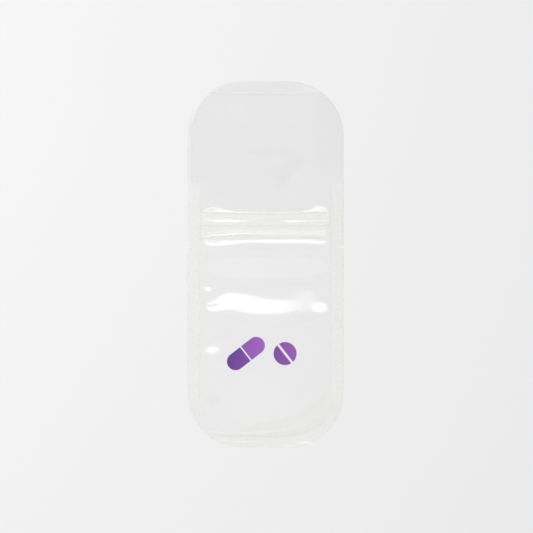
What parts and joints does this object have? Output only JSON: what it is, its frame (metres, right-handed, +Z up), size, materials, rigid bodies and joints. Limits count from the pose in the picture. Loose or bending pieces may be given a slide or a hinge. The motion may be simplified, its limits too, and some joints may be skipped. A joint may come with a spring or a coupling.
{
  "type": "pill crushing pouch",
  "caption": "Clear film pouch with rounded corners, knurled side welds, a press-to-close zip and a folding front lip, in which tablets are crushed.",
  "frame": {"origin": "middle of the pouch, on the surface that its back film lies on", "axes": "+X across the pouch, +Y along it towards the mouth, +Z up through its layers"},
  "size_m": [0.054, 0.1264, 0.006],
  "materials": {
    "film": "clear, glossy",
    "weld": "knurled",
    "zip": "clear, glossy",
    "ink": "printed ink"
  },
  "bodies": {
    "back": {"back_film": "film", "left_side_weld": "weld", "right_side_weld": "weld", "bottom_weld": "weld", "upper_zip_jaws": "zip", "lower_zip_jaws": "zip", "left_zip_crush": "zip", "right_zip_crush": "zip"},
    "front": {"front_film": "film", "upper_zip_rib": "zip", "lower_zip_rib": "zip", "capsule_print": "ink", "tablet_print": "ink"},
    "lip": {"front_lip": "film"}
  },
  "joints": [
    {"name": "mouth_open", "type": "hinge", "parent": "back", "child": "front", "pos_m": [0, -0.05905, 0.00045], "axis": [1, 0, 0], "range_deg": [0, 9], "deforming": ["upper_zip_jaws", "lower_zip_jaws"]},
    {"name": "front_lip_fold", "type": "hinge", "parent": "front", "child": "lip", "pos_m": [0, 0.03975, 0.0006], "axis": [1, 0, 0], "range_deg": [0, 150]}
  ]
}
